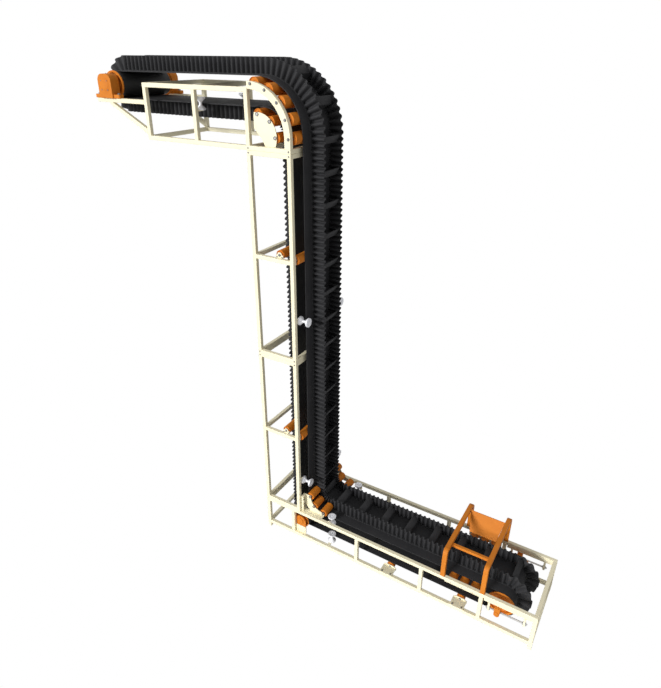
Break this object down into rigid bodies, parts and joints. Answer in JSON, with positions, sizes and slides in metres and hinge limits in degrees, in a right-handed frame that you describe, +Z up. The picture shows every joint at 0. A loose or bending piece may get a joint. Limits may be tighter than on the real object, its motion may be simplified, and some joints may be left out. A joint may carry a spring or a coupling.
{
  "type": "steeply inclined belt conveyor",
  "caption": "Z-shaped steep conveyor: pocket belt with corrugated sidewalls and cleats on a welded tube frame, with a low feed run, a vertical tower and a head run",
  "frame": {"origin": "on the floor under the middle of the part's box", "axes": "+X along the conveyor towards the feed end, +Y towards the hopper's sloping plate, +Z up"},
  "size_m": [7.7172, 1.36, 7.74],
  "materials": {
    "cream_paint": "satin cream paint on square steel tube",
    "orange_paint": "satin orange paint on rollers, drums, bearings and hopper",
    "belt_rubber": "matt black moulded rubber",
    "guide_steel": "bright turned steel"
  },
  "bodies": {
    "frame": {"lower_frame_near": "cream_paint", "lower_frame_far": "cream_paint", "lower_cross_beams": "cream_paint", "tower_lower_near": "cream_paint", "tower_lower_far": "cream_paint", "tower_upper_near": "cream_paint", "tower_upper_far": "cream_paint", "tower_cross_beams": "cream_paint", "head_frame_near": "cream_paint", "head_frame_far": "cream_paint", "head_cross_beams": "cream_paint", "bend_arches": "cream_paint", "head_arms": "cream_paint", "head_bearings": "orange_paint", "head_return_plates": "cream_paint", "lower_bend_plates": "cream_paint", "corner_drum_plates": "cream_paint", "tower_roller_brackets": "cream_paint", "return_roller_brackets": "cream_paint", "impact_roller_beams": "cream_paint", "take_up_guides": "cream_paint", "take_up_screws": "guide_steel", "tail_bearings": "orange_paint", "corner_bearings": "orange_paint", "hopper_portal_left": "orange_paint", "hopper_portal_right": "orange_paint", "hopper_chute": "orange_paint", "hopper_near_bar": "orange_paint", "belt_base": "belt_rubber", "belt_wall_near": "belt_rubber", "belt_wall_far": "belt_rubber", "belt_cleats": "belt_rubber", "guide_rollers": "guide_steel", "guide_roller_brackets": "cream_paint"},
    "head_drum_body": {"head_drum": "orange_paint"},
    "tail_drum_body": {"tail_drum": "orange_paint"},
    "corner_drum_body": {"corner_drum": "orange_paint"},
    "bend_roller_1_body": {"bend_roller_1": "orange_paint"},
    "bend_roller_2_body": {"bend_roller_2": "orange_paint"},
    "bend_roller_3_body": {"bend_roller_3": "orange_paint"},
    "bend_roller_4_body": {"bend_roller_4": "orange_paint"},
    "bend_roller_5_body": {"bend_roller_5": "orange_paint"},
    "head_return_roller_1_body": {"head_return_roller_1": "orange_paint"},
    "head_return_roller_2_body": {"head_return_roller_2": "orange_paint"},
    "head_return_roller_3_body": {"head_return_roller_3": "orange_paint"},
    "lower_bend_roller_1_body": {"lower_bend_roller_1": "orange_paint"},
    "lower_bend_roller_2_body": {"lower_bend_roller_2": "orange_paint"},
    "lower_bend_roller_3_body": {"lower_bend_roller_3": "orange_paint"},
    "tower_roller_1_body": {"tower_roller_1": "orange_paint"},
    "tower_roller_2_body": {"tower_roller_2": "orange_paint"},
    "tower_roller_3_body": {"tower_roller_3": "orange_paint"},
    "tower_roller_4_body": {"tower_roller_4": "orange_paint"},
    "impact_roller_1_body": {"impact_roller_1": "orange_paint"},
    "impact_roller_2_body": {"impact_roller_2": "orange_paint"},
    "impact_roller_3_body": {"impact_roller_3": "orange_paint"},
    "return_roller_1_body": {"return_roller_1": "orange_paint"},
    "return_roller_2_body": {"return_roller_2": "orange_paint"}
  },
  "joints": [
    {"name": "head_drum_turn", "type": "hinge", "parent": "frame", "child": "head_drum_body", "pos_m": [-3.46635, 0, 7.3477], "axis": [0, 1, 0], "continuous": true},
    {"name": "tail_drum_turn", "type": "hinge", "parent": "frame", "child": "tail_drum_body", "pos_m": [3.29565, 0, 0.4327], "axis": [0, 1, 0], "continuous": true},
    {"name": "corner_drum_turn", "type": "hinge", "parent": "frame", "child": "corner_drum_body", "pos_m": [-0.24405, 0, 0.3877], "axis": [0, 1, 0], "continuous": true},
    {"name": "bend_roller_1_turn", "type": "hinge", "parent": "frame", "child": "bend_roller_1_body", "pos_m": [-0.23515, 0, 6.82], "axis": [0, 1, 0], "continuous": true},
    {"name": "bend_roller_2_turn", "type": "hinge", "parent": "frame", "child": "bend_roller_2_body", "pos_m": [-0.27687, 0, 7.04513], "axis": [0, 1, 0], "continuous": true},
    {"name": "bend_roller_3_turn", "type": "hinge", "parent": "frame", "child": "bend_roller_3_body", "pos_m": [-0.39651, 0, 7.24035], "axis": [0, 1, 0], "continuous": true},
    {"name": "bend_roller_4_turn", "type": "hinge", "parent": "frame", "child": "bend_roller_4_body", "pos_m": [-0.57815, 0, 7.37973], "axis": [0, 1, 0], "continuous": true},
    {"name": "bend_roller_5_turn", "type": "hinge", "parent": "frame", "child": "bend_roller_5_body", "pos_m": [-0.79769, 0, 7.44476], "axis": [0, 1, 0], "continuous": true},
    {"name": "head_return_roller_1_turn", "type": "hinge", "parent": "frame", "child": "head_return_roller_1_body", "pos_m": [-0.74635, 0, 7.0886], "axis": [0, 1, 0], "continuous": true},
    {"name": "head_return_roller_2_turn", "type": "hinge", "parent": "frame", "child": "head_return_roller_2_body", "pos_m": [-0.55317, 0, 7.00858], "axis": [0, 1, 0], "continuous": true},
    {"name": "head_return_roller_3_turn", "type": "hinge", "parent": "frame", "child": "head_return_roller_3_body", "pos_m": [-0.47315, 0, 6.8154], "axis": [0, 1, 0], "continuous": true},
    {"name": "lower_bend_roller_1_turn", "type": "hinge", "parent": "frame", "child": "lower_bend_roller_1_body", "pos_m": [0.18165, 0, 0.7068], "axis": [0, 1, 0], "continuous": true},
    {"name": "lower_bend_roller_2_turn", "type": "hinge", "parent": "frame", "child": "lower_bend_roller_2_body", "pos_m": [-0.00092, 0, 0.78243], "axis": [0, 1, 0], "continuous": true},
    {"name": "lower_bend_roller_3_turn", "type": "hinge", "parent": "frame", "child": "lower_bend_roller_3_body", "pos_m": [-0.07655, 0, 0.965], "axis": [0, 1, 0], "continuous": true},
    {"name": "tower_roller_1_turn", "type": "hinge", "parent": "frame", "child": "tower_roller_1_body", "pos_m": [-0.22215, 0, 2.215], "axis": [0, 1, 0], "continuous": true},
    {"name": "tower_roller_2_turn", "type": "hinge", "parent": "frame", "child": "tower_roller_2_body", "pos_m": [-0.22215, 0, 5.215], "axis": [0, 1, 0], "continuous": true},
    {"name": "tower_roller_3_turn", "type": "hinge", "parent": "frame", "child": "tower_roller_3_body", "pos_m": [-0.47315, 0, 2.257], "axis": [0, 1, 0], "continuous": true},
    {"name": "tower_roller_4_turn", "type": "hinge", "parent": "frame", "child": "tower_roller_4_body", "pos_m": [-0.47315, 0, 5.257], "axis": [0, 1, 0], "continuous": true},
    {"name": "impact_roller_1_turn", "type": "hinge", "parent": "frame", "child": "impact_roller_1_body", "pos_m": [2.54365, 0, 0.5612], "axis": [0, 1, 0], "continuous": true},
    {"name": "impact_roller_2_turn", "type": "hinge", "parent": "frame", "child": "impact_roller_2_body", "pos_m": [2.71865, 0, 0.5612], "axis": [0, 1, 0], "continuous": true},
    {"name": "impact_roller_3_turn", "type": "hinge", "parent": "frame", "child": "impact_roller_3_body", "pos_m": [2.89365, 0, 0.5612], "axis": [0, 1, 0], "continuous": true},
    {"name": "return_roller_1_turn", "type": "hinge", "parent": "frame", "child": "return_roller_1_body", "pos_m": [1.47365, 0, 0.1586], "axis": [0, 1, 0], "continuous": true},
    {"name": "return_roller_2_turn", "type": "hinge", "parent": "frame", "child": "return_roller_2_body", "pos_m": [2.69365, 0, 0.1586], "axis": [0, 1, 0], "continuous": true}
  ]
}
